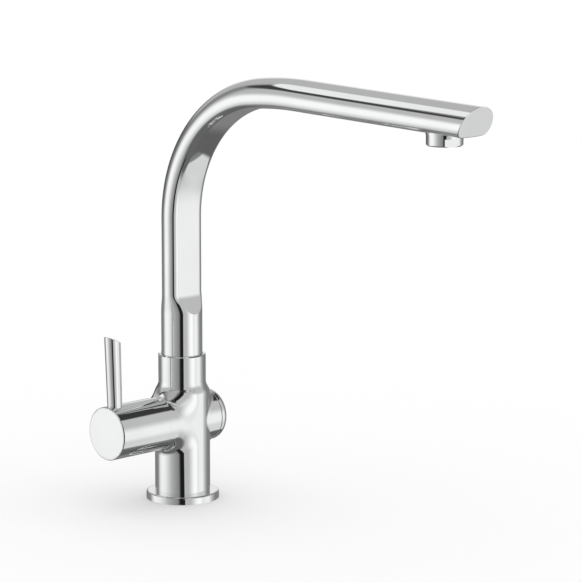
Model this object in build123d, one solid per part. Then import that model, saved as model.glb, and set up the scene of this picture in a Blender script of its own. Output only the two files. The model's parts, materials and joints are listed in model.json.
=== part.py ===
from build123d import *
import math
import os

# Three-way kitchen tap: one mixing lever for hot and cold water, and a knob for
# filtered water, which runs in a tube of its own inside the swivel spout.
# Millimetres. +Z is up and z = 0 is the worktop; the column stands on the Z axis,
# the spout points along -Y, the mixing lever is on -X and the filter knob on +X.

# ---- Gaps and fits -------------------------------------------------------
FREE_GAP = 0.3            # between a moving piece and anything it must clear
TURN_FIT = 0.05           # radial clearance where one piece turns inside another
SEAT_FIT = 0.02           # radial clearance of screwed or pushed-in fixed pieces

# ---- Base ----------------------------------------------------------------
BASE_RING_D = 50.0
BASE_RING_H = 5.2
BASE_RING_EDGE = 1.3      # rounding of the ring's top edge
FOOT_D = 32.0             # spigot of the body inside the base ring
FOOT_LIFT = 1.2           # the body's underside stays clear of the worktop
GASKET_D = 46.0
GASKET_BORE = 38.0
GASKET_T = 2.2

# ---- Body casting --------------------------------------------------------
COLUMN_D = 38.0
COLLAR_D = 32.6
COLLAR_TOP_Z = 101.3
COLLAR_EDGE = 0.7         # bevel on the collar's top rim
FLARE_LOW_Z = 73.5        # the column narrows to the collar between these heights
FLARE_HIGH_Z = 82.5
BARREL_Z = 55.3           # height of the cross barrel's axis
BARREL_D = 36.0
BARREL_RIGHT_X = 20.5     # the filter side of the barrel ends here
CAST_FILLET = 4.5         # where the barrel grows out of the column

# ---- Worktop connections, in the body's underside ------------------------
PORT_CIRCLE_R = 9.5
HOSE_HOLE_D = 9.0         # M10 x 1 hose thread, at its core
HOSE_HOLE_DEPTH = 12.0
STUD_HOLE_D = 6.8         # M8 stud thread, at its core
STUD_HOLE_DEPTH = 16.0
CHANNEL_D = 4.5           # drilled waterways
MIX_CHANNEL_D = 5.5
CHANNEL_X = 3.3           # upright waterways between the two cavities
HOT_PORT = (-5.5, -4.8)   # ports in the cartridge cavity's floor: y, height off axis
COLD_PORT = (5.5, -4.8)
MIX_PORT = (-6.0, 5.0)

# ---- Mixing cartridge, along the barrel axis -----------------------------
CARTRIDGE_D = 26.0
CAVITY_FLOOR_X = -1.0
TILT_X = -18.0            # the lever tilts about this point of the barrel axis
TILT_DEG = 20.0
TURN_DEG = 45.0           # hot to cold, each way
SEAL_T = 1.6
BASE_PLATE_T = 2.5
FIXED_DISC_T = 2.5
MOVING_DISC_D = 16.0
MOVING_DISC_T = 3.0
DISC_OFFSET = 1.0         # the moving disc lies this far off centre when shut
MIX_HOLLOW_DEPTH = 1.0
CARRIER_D = 15.0
CARRIER_T = 4.0
HOUSING_BORE = 22.0
HOUSING_END_X = -25.0
HOUSING_LIP_T = 2.2
STOP_LUG_W = 3.0          # the rotor's stop, in a slot of the housing's lip
STOP_LUG_H = 1.8
ROTOR_NECK_D = 17.0
ROTOR_END_X = -26.0
PIVOT_PIN_D = 3.0
BALL_D = 4.6
BALL_ARM = 6.0            # from the tilt point to the ball that drives the disc
BALL_NECK_D = 3.4
STEM_D = 6.4
STEM_SQUARE = 7.0
STEM_SQUARE_X = -38.0
STEM_END_X = -53.5
NUT_THREAD_D = 28.0       # core of the body's retaining thread
NUT_T = 3.0
NUT_BORE = 19.0
NUT_SLOT_W = 3.0
NOSE_FACE_X = -30.0       # flat end of the body's rounded nose
DOME_SKIRT_D = 30.4
DOME_SKIRT_L = 1.8
DOME_HOLE_D = 25.2
DOME_WALL = 1.6

# ---- Mixer handle --------------------------------------------------------
HUB_D = 36.4
HUB_WALL = 2.0
HUB_SEAM_X = -27.6        # the hub's rim beside the body
HUB_END_X = -69.2
HUB_SOLID_X = -56.0       # solid outwards from here
HUB_EDGE = 0.5
HUB_BOSS_D = 16.0
HUB_BOSS_X = -40.5
END_CAP_T = 2.0
END_CAP_LIP = 0.9         # width of the hub's rim around the end cap
PIN_X = -61.0
PIN_BASE_D = 10.0
PIN_TOP_D = 11.0
PIN_TOP_Z = 119.0
PIN_LEAN_DEG = 1.9
PIN_CUT_DEG = 28.0        # slant of the pin's top
PIN_EDGE = 0.4
PIN_SEAT_DEPTH = 1.6
PIN_STUD_D = 6.0
PIN_STUD_L = 8.0
GRUB_X = -48.0
GRUB_D = 5.0
GRUB_L = 5.0
GRUB_KEY = 2.5            # hexagon socket across its flats
PLUG_D = 5.6
PLUG_T = 1.8

# ---- Filter valve, along the barrel axis ---------------------------------
FILTER_FLOOR_X = 7.5
FILTER_BODY_D = 19.4
FILTER_BODY_END_X = 18.6
FILTER_SEAL_T = 1.6
FILTER_SEAL_BORE = 8.0
FILTER_DISC_D = 14.6
FILTER_DISC_T = 1.8
FILTER_PORT_D = 4.0
FILTER_PORT_R = 3.6
SPINDLE_D = 8.0
SPINDLE_FLANGE_T = 1.8
SPINDLE_RING_X = 16.7
SPINDLE_END_X = 23.2
KNOB_D = 36.0
KNOB_END_X = 27.6
KNOB_EDGE = 3.0           # rounding of the knob's outer rim
KNOB_BOSS_D = 13.0
KNOB_WEB_T = 1.2
KNOB_SCREW_D = 3.0
KNOB_SCREW_L = 4.0
KNOB_SCREW_HEAD_D = 5.5
KNOB_SCREW_HEAD_T = 1.6
KNOB_CAP_D = 6.5

# ---- Spout ---------------------------------------------------------------
TUBE_D = 28.2
TUBE_WALL = 1.5
PRESS_LOW_Z = 129.0       # the pressed flat of the riser starts here ...
PRESS_HIGH_Z = 143.0      # ... and is at its full depth here
SPOUT_HALF_W = 14.8       # half width of the flattened section
SPOUT_CROWN = 12.2        # centre line to the crowned back
SPOUT_FLAT = 7.4          # centre line to the flat inside of the bend
SPOUT_CORNER = 6.5        # corner radius beside the flat
BEND_START_Z = 195.0
BENDS = ((90.0, 83.0), (260.0, 8.7))   # radius and turn of the bend's two parts
SPOUT_REACH = 267.7       # column axis to the centre of the end cut
END_CUT_DEG = 23.5        # the end's top edge overhangs by this slant
END_PLATE_T = 1.5
SWIVEL_DEG = 75.0         # each way

# ---- Spout swivel, in the collar -----------------------------------------
SOCKET_FLOOR_Z = 76.0
SOCKET_D = 24.1
RECESS_Z = 97.8           # wide top of the collar's bore
SLIDE_RING_T = 1.0
SPIGOT_LOW_Z = 77.0
SPIGOT_HIGH_Z = 110.0
SPIGOT_BORE = 17.0
O_RING_T = 1.75
O_RING_ZS = (81.5, 86.0)
O_RING_GROOVE_W = 2.4
LOCK_Z = 91.5             # grub screw that keeps the spout in and limits its swivel
LOCK_SCREW_D = 4.2
LOCK_TIP_D = 3.4
LOCK_GROOVE_DEPTH = 1.5
LOCK_KEY = 2.0

# ---- Filtered water line inside the spout --------------------------------
LINE_D = 8.0
LINE_BORE = 5.5
LINE_SOCKET_D = 9.0       # socket in the body for the line's lower end
LINE_SOCKET_DEPTH = 5.5
LINE_COLLAR_D = 12.0
LINE_COLLAR_T = 2.7
LINE_RING_T = 1.3
LINE_BARB_L = 7.0
LINE_END_Y = -232.0

# ---- Aerator -------------------------------------------------------------
AERATOR_Y = -241.9
AERATOR_D = 23.4
AERATOR_LOW_Z = 267.2
AERATOR_TOP_Z = 274.3
AERATOR_EDGE = 0.8
AERATOR_FLATS = 21.4      # width over the spanner flats
AERATOR_FLAT_H = 5.0
AERATOR_FLAT_TURN = -23.0 # the flats face this far round from the spout's line
AERATOR_NECK_D = 18.0
AERATOR_WAY_D = 14.5
SOCKET_NECK_D = 20.4
SOCKET_FLANGE_D = 24.0
AERATOR_GASKET_T = 1.0
AERATOR_GASKET_D = 22.0
INSERT_D = 19.4
INSERT_T = 4.0
INSERT_RECESS = 0.5
INSERT_HOLE_D = 1.5
INSERT_RINGS = ((5.4, 12), (7.8, 18))  # radius and number of the water holes
NOZZLE_D = 6.4
NOZZLE_BORE = 4.4
ELBOW_D = 10.0
ELBOW_GAP = 0.3           # the elbow lies just above the aerator's neck

# ---- Worked out from the above -------------------------------------------
HUB_SPHERE_R = math.hypot(TILT_X - HUB_SEAM_X, HUB_D / 2)
NOSE_SPHERE_R = HUB_SPHERE_R - FREE_GAP
SEAL_X = CAVITY_FLOOR_X - SEAL_T
PLATE_X = SEAL_X - BASE_PLATE_T
FIXED_DISC_X = PLATE_X - FIXED_DISC_T
MOVING_DISC_X = FIXED_DISC_X - MOVING_DISC_T
CARRIER_X = MOVING_DISC_X - CARRIER_T
BALL_X = TILT_X + BALL_ARM
ROTOR_X = CARRIER_X - FREE_GAP - 0.2
ROTOR_FLANGE_X = HOUSING_END_X + HOUSING_LIP_T + FREE_GAP
CAVITY_D = CARTRIDGE_D + 2 * FREE_GAP
HOUSING_MOUTH_D = ROTOR_NECK_D + 2 * FREE_GAP
NUT_END_X = HOUSING_END_X - NUT_T
PIN_SEAT_H = HUB_D / 2 - PIN_SEAT_DEPTH
FILTER_SEAL_X = FILTER_FLOOR_X + FILTER_SEAL_T
FILTER_MOVING_X = FILTER_SEAL_X + FILTER_DISC_T
SPINDLE_X = FILTER_MOVING_X + FILTER_DISC_T
SPINDLE_SHAFT_X = SPINDLE_X + SPINDLE_FLANGE_T
FILTER_CHAMBER_D = FILTER_DISC_D + 2 * FREE_GAP
KNOB_X = BARREL_RIGHT_X + FREE_GAP
KNOB_BOSS_X = FILTER_BODY_END_X + FREE_GAP
KNOB_HEAD_X = SPINDLE_END_X + KNOB_WEB_T
KNOB_CAP_X = KNOB_HEAD_X + KNOB_SCREW_HEAD_T
TUBE_LOW_Z = RECESS_Z + SLIDE_RING_T
TUBE_BORE = TUBE_D - 2 * TUBE_WALL
SPIGOT_D = SOCKET_D - 2 * TURN_FIT
LINE_NOSE_D = LINE_SOCKET_D - 2 * TURN_FIT
LINE_SOCKET_Z = SOCKET_FLOOR_Z - LINE_SOCKET_DEPTH
LINE_COLLAR_Z = SOCKET_FLOOR_Z + FREE_GAP
LINE_LOW_Z = LINE_COLLAR_Z + LINE_COLLAR_T


# ---- Shared shapes -------------------------------------------------------
def rod_x(x_a, x_b, outer_d, bore_d=0.0, y=0.0, z=0.0):
    """Cylinder or sleeve along the barrel axis, offset by y and z if wanted."""
    solid = Cylinder(outer_d / 2, abs(x_b - x_a))
    if bore_d:
        solid -= Cylinder(bore_d / 2, abs(x_b - x_a))
    return Pos((x_a + x_b) / 2, y, BARREL_Z + z) * Rot(0, 90, 0) * solid


def rod_y(y_a, y_b, d, x, z):
    """Cylinder along Y."""
    return Pos(x, (y_a + y_b) / 2, z) * Rot(90, 0, 0) * Cylinder(d / 2, abs(y_b - y_a))


def rod_z(z_a, z_b, outer_d, bore_d=0.0, x=0.0, y=0.0):
    """Upright cylinder or sleeve."""
    solid = Cylinder(outer_d / 2, abs(z_b - z_a))
    if bore_d:
        solid -= Cylinder(bore_d / 2, abs(z_b - z_a))
    return Pos(x, y, (z_a + z_b) / 2) * solid


def block(x_range, y_range, z_range):
    """Box between the given limits."""
    ranges = (x_range, y_range, z_range)
    sizes = [high - low for low, high in ranges]
    middle = [(high + low) / 2 for low, high in ranges]
    return Pos(*middle) * Box(*sizes)


def drill(start, end, d):
    """Straight waterway between two points."""
    way = Vector(*end) - Vector(*start)
    return extrude(Plane(origin=start, z_dir=way) * Circle(d / 2), way.length)


def o_ring(outer_d, section_d):
    """Rubber ring about the Z axis, centred on the origin."""
    return Torus((outer_d - section_d) / 2, section_d / 2)


def sphere_arc(sphere_r, r_start, r_end):
    """Arc of the ball seat's profile, between two distances from the barrel axis."""
    start = 180 - math.degrees(math.asin(r_start / sphere_r))
    end = 180 - math.degrees(math.asin(r_end / sphere_r))
    return CenterArc((TILT_X, BARREL_Z), sphere_r, start, end - start)


def sphere_x(sphere_r, r):
    """Where the ball seat's sphere reaches a distance r from the barrel axis."""
    return TILT_X - math.sqrt(sphere_r ** 2 - r ** 2)


# ---- Base ----------------------------------------------------------------
def base_ring():
    ring = rod_z(0, BASE_RING_H, BASE_RING_D, FOOT_D + 2 * SEAT_FIT)
    ring = fillet(ring.edges().group_by(Axis.Z)[-1].sort_by(SortBy.RADIUS)[-1], BASE_RING_EDGE)
    return ring - rod_z(0, GASKET_T, GASKET_D, GASKET_BORE)


def base_gasket():
    return rod_z(0, GASKET_T, GASKET_D - 2 * SEAT_FIT, GASKET_BORE + 2 * SEAT_FIT)


# ---- Body ----------------------------------------------------------------
def column_blank():
    """Foot, column, flare and collar turned as one."""
    column_r = COLUMN_D / 2
    collar_r = COLLAR_D / 2
    middle = ((column_r + collar_r) / 2, (FLARE_LOW_Z + FLARE_HIGH_Z) / 2)
    with BuildSketch(Plane.XZ) as half:
        with BuildLine():
            Polyline((0, FOOT_LIFT), (FOOT_D / 2, FOOT_LIFT), (FOOT_D / 2, BASE_RING_H),
                     (column_r, BASE_RING_H), (column_r, FLARE_LOW_Z))
            low_arc = TangentArc((column_r, FLARE_LOW_Z), middle, tangent=(0, 1))
            TangentArc(middle, (collar_r, FLARE_HIGH_Z), tangent=low_arc % 1)
            Polyline((collar_r, FLARE_HIGH_Z), (collar_r, COLLAR_TOP_Z - COLLAR_EDGE),
                     (collar_r - COLLAR_EDGE, COLLAR_TOP_Z), (0, COLLAR_TOP_Z), (0, FOOT_LIFT))
        make_face()
    return revolve(half.sketch, Axis.Z)


def barrel_blank():
    """Cross barrel, with the ball-seat nose that the handle's rim rides over."""
    barrel_r = BARREL_D / 2
    nose_r = math.sqrt(NOSE_SPHERE_R ** 2 - (TILT_X - NOSE_FACE_X) ** 2)
    with BuildSketch(Plane.XZ) as half:
        with BuildLine():
            Polyline((NOSE_FACE_X, BARREL_Z + nose_r), (NOSE_FACE_X, BARREL_Z),
                     (BARREL_RIGHT_X, BARREL_Z), (BARREL_RIGHT_X, BARREL_Z + barrel_r),
                     (sphere_x(NOSE_SPHERE_R, barrel_r), BARREL_Z + barrel_r))
            sphere_arc(NOSE_SPHERE_R, barrel_r, nose_r)
        make_face()
    return revolve(half.sketch, Axis((0, 0, BARREL_Z), (1, 0, 0)))


def port_point(quadrant):
    """Centre of one of the four holes in the underside, by its quadrant's signs."""
    offset = PORT_CIRCLE_R * math.sqrt(0.5)
    return quadrant[0] * offset, quadrant[1] * offset


def waterways():
    """Everything that water runs through between the underside and the two valves."""
    hose_top = FOOT_LIFT + HOSE_HOLE_DEPTH
    mix_z = BARREL_Z + MIX_PORT[1]
    ways = []
    for quadrant, port in (((-1, -1), HOT_PORT), ((-1, 1), COLD_PORT)):
        x, y = port_point(quadrant)
        ways.append(rod_z(FOOT_LIFT, hose_top, HOSE_HOLE_D, x=x, y=y))
        ways.append(drill((x + 1, y, hose_top - 1), (CHANNEL_X, port[0], BARREL_Z + port[1]), CHANNEL_D))
        ways.append(rod_x(CAVITY_FLOOR_X, CHANNEL_X, CHANNEL_D, y=port[0], z=port[1]))
    x, y = port_point((1, 1))
    ways.append(rod_z(FOOT_LIFT, hose_top, HOSE_HOLE_D, x=x, y=y))
    ways.append(drill((x, y, hose_top - 1), (CHANNEL_X, 0, BARREL_Z), CHANNEL_D))
    ways.append(rod_x(CHANNEL_X, FILTER_FLOOR_X, CHANNEL_D))
    ways.append(rod_x(CAVITY_FLOOR_X, CHANNEL_X, MIX_CHANNEL_D, y=MIX_PORT[0], z=MIX_PORT[1]))
    ways.append(rod_z(mix_z, SOCKET_FLOOR_Z, MIX_CHANNEL_D, x=CHANNEL_X, y=MIX_PORT[0]))
    filter_top = BARREL_Z + FILTER_BODY_D / 2
    ways.append(drill((FILTER_MOVING_X + 1, 0, filter_top - 2), (0, 0, LINE_SOCKET_Z + 1), CHANNEL_D))
    x, y = port_point((1, -1))
    ways.append(rod_z(FOOT_LIFT, FOOT_LIFT + STUD_HOLE_DEPTH, STUD_HOLE_D, x=x, y=y))
    return ways


def tap_body():
    column = column_blank()
    barrel = barrel_blank()
    body = column + barrel
    body = fillet(new_edges(column, barrel, combined=body), CAST_FILLET)
    open_x = NOSE_FACE_X - 1
    open_z = COLLAR_TOP_Z + 1
    body -= rod_x(open_x, CAVITY_FLOOR_X, CAVITY_D)
    body -= rod_x(open_x, HOUSING_END_X + 2, NUT_THREAD_D)
    body -= rod_x(open_x, NOSE_FACE_X + DOME_SKIRT_L, DOME_SKIRT_D)
    body -= rod_x(FILTER_FLOOR_X, BARREL_RIGHT_X + 1, FILTER_BODY_D + 2 * SEAT_FIT)
    body -= rod_z(SOCKET_FLOOR_Z, open_z, SOCKET_D)
    body -= rod_z(RECESS_Z, open_z, TUBE_D + 2 * FREE_GAP)
    body -= rod_z(LINE_SOCKET_Z, open_z, LINE_SOCKET_D)
    body -= rod_y(SOCKET_D / 2 - 1, COLLAR_D / 2 + 1, LOCK_SCREW_D + 2 * SEAT_FIT, 0, LOCK_Z)
    for way in waterways():
        body -= way
    return body


# ---- Mixing cartridge ----------------------------------------------------
def port_holes(x_a, x_b, d):
    """Cutters for the cartridge's three ports through a layer."""
    ports = (HOT_PORT, COLD_PORT, MIX_PORT)
    return [rod_x(x_a, x_b, d, y=y, z=z) for y, z in ports]


def cartridge_seal():
    seal = rod_x(SEAL_X, CAVITY_FLOOR_X, CARTRIDGE_D)
    for hole in port_holes(SEAL_X, CAVITY_FLOOR_X, CHANNEL_D + 0.6):
        seal -= hole
    return seal


def cartridge_base():
    plate = rod_x(PLATE_X, SEAL_X, CARTRIDGE_D)
    for hole in port_holes(PLATE_X, SEAL_X, CHANNEL_D):
        plate -= hole
    return plate


def fixed_ceramic_disc():
    disc = rod_x(FIXED_DISC_X, PLATE_X, HOUSING_BORE - 2 * SEAT_FIT)
    for hole in port_holes(FIXED_DISC_X, PLATE_X, CHANNEL_D):
        disc -= hole
    return disc


def ball_pocket(clearance):
    """Cutter for the pocket that the stem's ball drives, wider where its neck swings."""
    half = BALL_D / 2 + clearance
    neck_half = half + 0.9
    inner_x = BALL_X + half
    ball_room = block((CARRIER_X - 1, inner_x), (-half, half), (BARREL_Z - half, BARREL_Z + half))
    neck_room = block((CARRIER_X - 1, BALL_X - 1), (-half, half),
                      (BARREL_Z - neck_half, BARREL_Z + neck_half))
    return ball_room + neck_room


def moving_ceramic_disc():
    disc = rod_x(MOVING_DISC_X, FIXED_DISC_X, MOVING_DISC_D, z=-DISC_OFFSET)
    hollow = Pos(FIXED_DISC_X - MIX_HOLLOW_DEPTH / 2, 0, BARREL_Z - DISC_OFFSET) * Rot(0, 90, 0)
    disc -= hollow * extrude(Ellipse(3.0, 6.0), MIX_HOLLOW_DEPTH / 2, both=True)
    return disc - ball_pocket(FREE_GAP)


def disc_carrier():
    carrier = rod_x(CARRIER_X, MOVING_DISC_X, CARRIER_D, z=-DISC_OFFSET)
    return carrier - ball_pocket(FREE_GAP)


def stop_sector(inner_r, outer_r, half_angle, x_a, x_b):
    """Part of a ring about the barrel axis, centred on its top."""
    with BuildSketch(Plane.XZ) as strip:
        with Locations(((x_a + x_b) / 2, BARREL_Z + (inner_r + outer_r) / 2)):
            Rectangle(abs(x_b - x_a), outer_r - inner_r)
    axis = Axis((0, 0, BARREL_Z), (1, 0, 0))
    return revolve(strip.sketch.rotate(axis, -half_angle), axis, revolution_arc=2 * half_angle)


def cartridge_housing():
    lip_x = HOUSING_END_X + HOUSING_LIP_T
    housing = rod_x(HOUSING_END_X, PLATE_X, CARTRIDGE_D)
    housing -= rod_x(lip_x, PLATE_X, HOUSING_BORE)
    housing -= rod_x(HOUSING_END_X, lip_x, HOUSING_MOUTH_D)
    lug_r = ROTOR_NECK_D / 2 + STOP_LUG_H
    lug_angle = math.degrees(math.asin(STOP_LUG_W / 2 / (ROTOR_NECK_D / 2)))
    slot = stop_sector(HOUSING_MOUTH_D / 2 - 0.5, lug_r + FREE_GAP, TURN_DEG + lug_angle + 2,
                       HOUSING_END_X, lip_x)
    return housing - slot


def cartridge_rotor():
    """Turns with the handle and carries the pin that the stem tilts on."""
    rotor = rod_x(ROTOR_FLANGE_X, ROTOR_X, HOUSING_BORE - 2 * FREE_GAP)
    rotor += rod_x(ROTOR_END_X, ROTOR_FLANGE_X, ROTOR_NECK_D)
    lug_top = BARREL_Z + ROTOR_NECK_D / 2 + STOP_LUG_H
    rotor += block((HOUSING_END_X + FREE_GAP, ROTOR_FLANGE_X + 0.5),
                   (-STOP_LUG_W / 2, STOP_LUG_W / 2), (lug_top - 4, lug_top))
    tilt = math.radians(TILT_DEG)
    slot_half = STEM_D / 2 + FREE_GAP
    swung_half = STEM_D / 2 / math.cos(tilt) + FREE_GAP
    drop = (TILT_X - ROTOR_END_X) * math.tan(tilt) + swung_half
    rise = (ROTOR_X - TILT_X) * math.tan(tilt) + swung_half
    rotor -= block((ROTOR_END_X, TILT_X), (-slot_half, slot_half),
                   (BARREL_Z - drop, BARREL_Z + slot_half))
    rotor -= block((TILT_X, ROTOR_X), (-slot_half, slot_half),
                   (BARREL_Z - slot_half, BARREL_Z + rise))
    half_l = pivot_half_length() + FREE_GAP
    return rotor - rod_y(-half_l, half_l, PIVOT_PIN_D + 2 * SEAT_FIT, TILT_X, BARREL_Z)


def pivot_half_length():
    """The pivot pin ends just inside the rotor's rim."""
    return HOUSING_BORE / 2 - 2 * FREE_GAP - 0.4


def pivot_pin():
    half_l = pivot_half_length()
    return rod_y(-half_l, half_l, PIVOT_PIN_D, TILT_X, BARREL_Z)


def cartridge_nut():
    nut = rod_x(NUT_END_X, HOUSING_END_X, NUT_THREAD_D - 2 * SEAT_FIT, NUT_BORE)
    slot_y = (NUT_BORE / 2 + 2.2, NUT_THREAD_D)
    for low, high in (slot_y, (-slot_y[1], -slot_y[0])):
        nut -= block((NUT_END_X, NUT_END_X + 1.2), (low, high),
                     (BARREL_Z - NUT_SLOT_W / 2, BARREL_Z + NUT_SLOT_W / 2))
    return nut


def dome_cover():
    """Turned cover that continues the ball seat and hides the cartridge."""
    rim_r = math.sqrt(NOSE_SPHERE_R ** 2 - (TILT_X - NOSE_FACE_X) ** 2)
    inner_sphere_r = NOSE_SPHERE_R - DOME_WALL
    inner_r = math.sqrt(inner_sphere_r ** 2 - (TILT_X - NOSE_FACE_X) ** 2)
    hole_r = DOME_HOLE_D / 2
    skirt_r = DOME_SKIRT_D / 2 - SEAT_FIT
    skirt_x = NOSE_FACE_X + DOME_SKIRT_L
    with BuildSketch(Plane.XZ) as half:
        with BuildLine():
            sphere_arc(NOSE_SPHERE_R, rim_r, hole_r)
            Line((sphere_x(NOSE_SPHERE_R, hole_r), BARREL_Z + hole_r),
                 (sphere_x(inner_sphere_r, hole_r), BARREL_Z + hole_r))
            sphere_arc(inner_sphere_r, hole_r, inner_r)
            Polyline((NOSE_FACE_X, BARREL_Z + inner_r), (skirt_x, BARREL_Z + inner_r),
                     (skirt_x, BARREL_Z + skirt_r), (NOSE_FACE_X, BARREL_Z + skirt_r),
                     (NOSE_FACE_X, BARREL_Z + rim_r))
        make_face()
    return revolve(half.sketch, Axis((0, 0, BARREL_Z), (1, 0, 0)))


# ---- Mixer handle --------------------------------------------------------
def cartridge_stem():
    stem = rod_x(STEM_SQUARE_X, TILT_X + STEM_D / 4, STEM_D)
    stem += rod_x(TILT_X, BALL_X, BALL_NECK_D)
    stem += Pos(BALL_X, 0, BARREL_Z) * Sphere(BALL_D / 2)
    half = STEM_SQUARE / 2
    stem += block((STEM_END_X, STEM_SQUARE_X), (-half, half), (BARREL_Z - half, BARREL_Z + half))
    return stem - rod_y(-STEM_D, STEM_D, PIVOT_PIN_D + 2 * TURN_FIT, TILT_X, BARREL_Z)


def pin_frame():
    """Axis of the pin lever: up from the barrel axis, leaning outwards."""
    return Pos(PIN_X, 0, BARREL_Z) * Rot(0, -PIN_LEAN_DEG, 0)


def pin_lever():
    top_h = (PIN_TOP_Z - BARREL_Z) / math.cos(math.radians(PIN_LEAN_DEG))
    spare = PIN_TOP_D
    taper = (PIN_TOP_D - PIN_BASE_D) / 2 / (top_h - PIN_SEAT_H)
    length = top_h + spare - PIN_SEAT_H
    pin = Pos(0, 0, PIN_SEAT_H + length / 2) * Cone(PIN_BASE_D / 2, PIN_BASE_D / 2 + taper * length, length)
    cut = math.radians(PIN_CUT_DEG)
    slant = Plane(origin=(0, 0, top_h), z_dir=(math.sin(cut), 0, math.cos(cut)))
    pin = split(pin, bisect_by=slant, keep=Keep.BOTTOM)
    pin = fillet(pin.edges().sort_by(Axis.Z)[-1], PIN_EDGE)
    pin += Pos(0, 0, PIN_SEAT_H - PIN_STUD_L / 2) * Cylinder(PIN_STUD_D / 2, PIN_STUD_L)
    return pin_frame() * pin


def handle_hub():
    hub = rod_x(HUB_END_X, TILT_X, HUB_D)
    hub = chamfer(hub.edges().sort_by(Axis.X)[0], HUB_EDGE)
    hub -= Pos(TILT_X, 0, BARREL_Z) * Sphere(HUB_SPHERE_R)
    hub -= rod_x(HUB_SOLID_X, TILT_X, HUB_D - 2 * HUB_WALL)
    hub += rod_x(HUB_SOLID_X, HUB_BOSS_X, HUB_BOSS_D)
    hub -= rod_x(HUB_END_X, HUB_END_X + END_CAP_T, HUB_D - 2 * END_CAP_LIP)
    half = STEM_SQUARE / 2 + SEAT_FIT
    hub -= block((STEM_END_X - FREE_GAP, HUB_BOSS_X), (-half, half), (BARREL_Z - half, BARREL_Z + half))
    hub -= rod_z(BARREL_Z - half, BARREL_Z - HUB_BOSS_D, GRUB_D + 2 * SEAT_FIT, x=GRUB_X)
    hub -= rod_z(BARREL_Z - HUB_BOSS_D / 2, BARREL_Z - HUB_D, PLUG_D + 2 * SEAT_FIT, x=GRUB_X)
    seat = Pos(0, 0, PIN_SEAT_H + PIN_SEAT_DEPTH) * Cylinder(PIN_BASE_D / 2 + 0.1, 2 * PIN_SEAT_DEPTH)
    stud_l = PIN_STUD_L + FREE_GAP
    stud = Pos(0, 0, PIN_SEAT_H - stud_l / 2) * Cylinder(PIN_STUD_D / 2 + SEAT_FIT, stud_l)
    return hub - pin_frame() * seat - pin_frame() * stud


def hub_end_cap():
    cap = rod_x(HUB_END_X, HUB_END_X + END_CAP_T, HUB_D - 2 * END_CAP_LIP - 2 * SEAT_FIT)
    return chamfer(cap.edges().sort_by(Axis.X)[0], HUB_EDGE / 3)


def handle_grub_screw():
    top_z = BARREL_Z - STEM_SQUARE / 2
    screw = rod_z(top_z - GRUB_L, top_z, GRUB_D, x=GRUB_X)
    key = extrude(RegularPolygon(GRUB_KEY / 2, 6, major_radius=False), GRUB_L / 2)
    return screw - Pos(GRUB_X, 0, top_z - GRUB_L) * key


def hub_plug():
    low_z = BARREL_Z - HUB_D / 2 + 0.15
    return rod_z(low_z, low_z + PLUG_T, PLUG_D, x=GRUB_X)


# ---- Filter valve --------------------------------------------------------
def filter_seal():
    return rod_x(FILTER_FLOOR_X, FILTER_SEAL_X, FILTER_BODY_D, FILTER_SEAL_BORE)


def filter_valve_body():
    chamber_end = SPINDLE_SHAFT_X + FREE_GAP
    body = rod_x(FILTER_SEAL_X, FILTER_BODY_END_X, FILTER_BODY_D, SPINDLE_D + 2 * TURN_FIT)
    body -= rod_x(FILTER_SEAL_X, chamber_end, FILTER_CHAMBER_D)
    window_x = FILTER_MOVING_X + 1
    return body - rod_z(BARREL_Z, BARREL_Z + FILTER_BODY_D, FILTER_PORT_D, x=window_x)


def filter_fixed_disc():
    disc = rod_x(FILTER_SEAL_X, FILTER_MOVING_X, FILTER_CHAMBER_D - 2 * SEAT_FIT)
    for side in (-1, 1):
        disc -= rod_x(FILTER_SEAL_X, FILTER_MOVING_X, FILTER_PORT_D, y=side * FILTER_PORT_R)
    return disc


def filter_moving_disc():
    disc = rod_x(FILTER_MOVING_X, SPINDLE_X, FILTER_DISC_D)
    for side in (-1, 1):
        disc -= rod_x(FILTER_MOVING_X, SPINDLE_X, FILTER_PORT_D, z=side * FILTER_PORT_R)
    return disc


def filter_spindle():
    spindle = rod_x(SPINDLE_X, SPINDLE_SHAFT_X, FILTER_DISC_D)
    spindle += rod_x(SPINDLE_SHAFT_X, SPINDLE_END_X, SPINDLE_D)
    groove_d = SPINDLE_D - 2 * LINE_RING_T
    groove_half = LINE_RING_T / 2 + 0.2
    spindle -= rod_x(SPINDLE_RING_X - groove_half, SPINDLE_RING_X + groove_half, SPINDLE_D, groove_d)
    return spindle - rod_x(SPINDLE_END_X - KNOB_SCREW_L, SPINDLE_END_X, KNOB_SCREW_D + 2 * SEAT_FIT)


def filter_spindle_o_ring():
    ring = o_ring(SPINDLE_D + TURN_FIT, LINE_RING_T)
    return Pos(SPINDLE_RING_X, 0, BARREL_Z) * Rot(0, 90, 0) * ring


def filter_knob():
    knob = rod_x(KNOB_X, KNOB_END_X, KNOB_D)
    knob = fillet(knob.edges().sort_by(Axis.X)[-1], KNOB_EDGE)
    knob += rod_x(KNOB_BOSS_X, KNOB_X, KNOB_BOSS_D)
    knob -= rod_x(KNOB_BOSS_X, SPINDLE_END_X, SPINDLE_D)
    knob -= rod_x(SPINDLE_END_X, KNOB_HEAD_X, KNOB_SCREW_D + 2 * SEAT_FIT)
    knob -= rod_x(KNOB_HEAD_X, KNOB_CAP_X, KNOB_SCREW_HEAD_D + 2 * SEAT_FIT)
    return knob - rod_x(KNOB_CAP_X, KNOB_END_X, KNOB_CAP_D + 2 * SEAT_FIT)


def knob_screw():
    screw = rod_x(KNOB_HEAD_X, KNOB_CAP_X, KNOB_SCREW_HEAD_D)
    return screw + rod_x(SPINDLE_END_X - KNOB_SCREW_L + FREE_GAP, KNOB_HEAD_X, KNOB_SCREW_D)


def knob_cap():
    return rod_x(KNOB_CAP_X, KNOB_END_X, KNOB_CAP_D)


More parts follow.
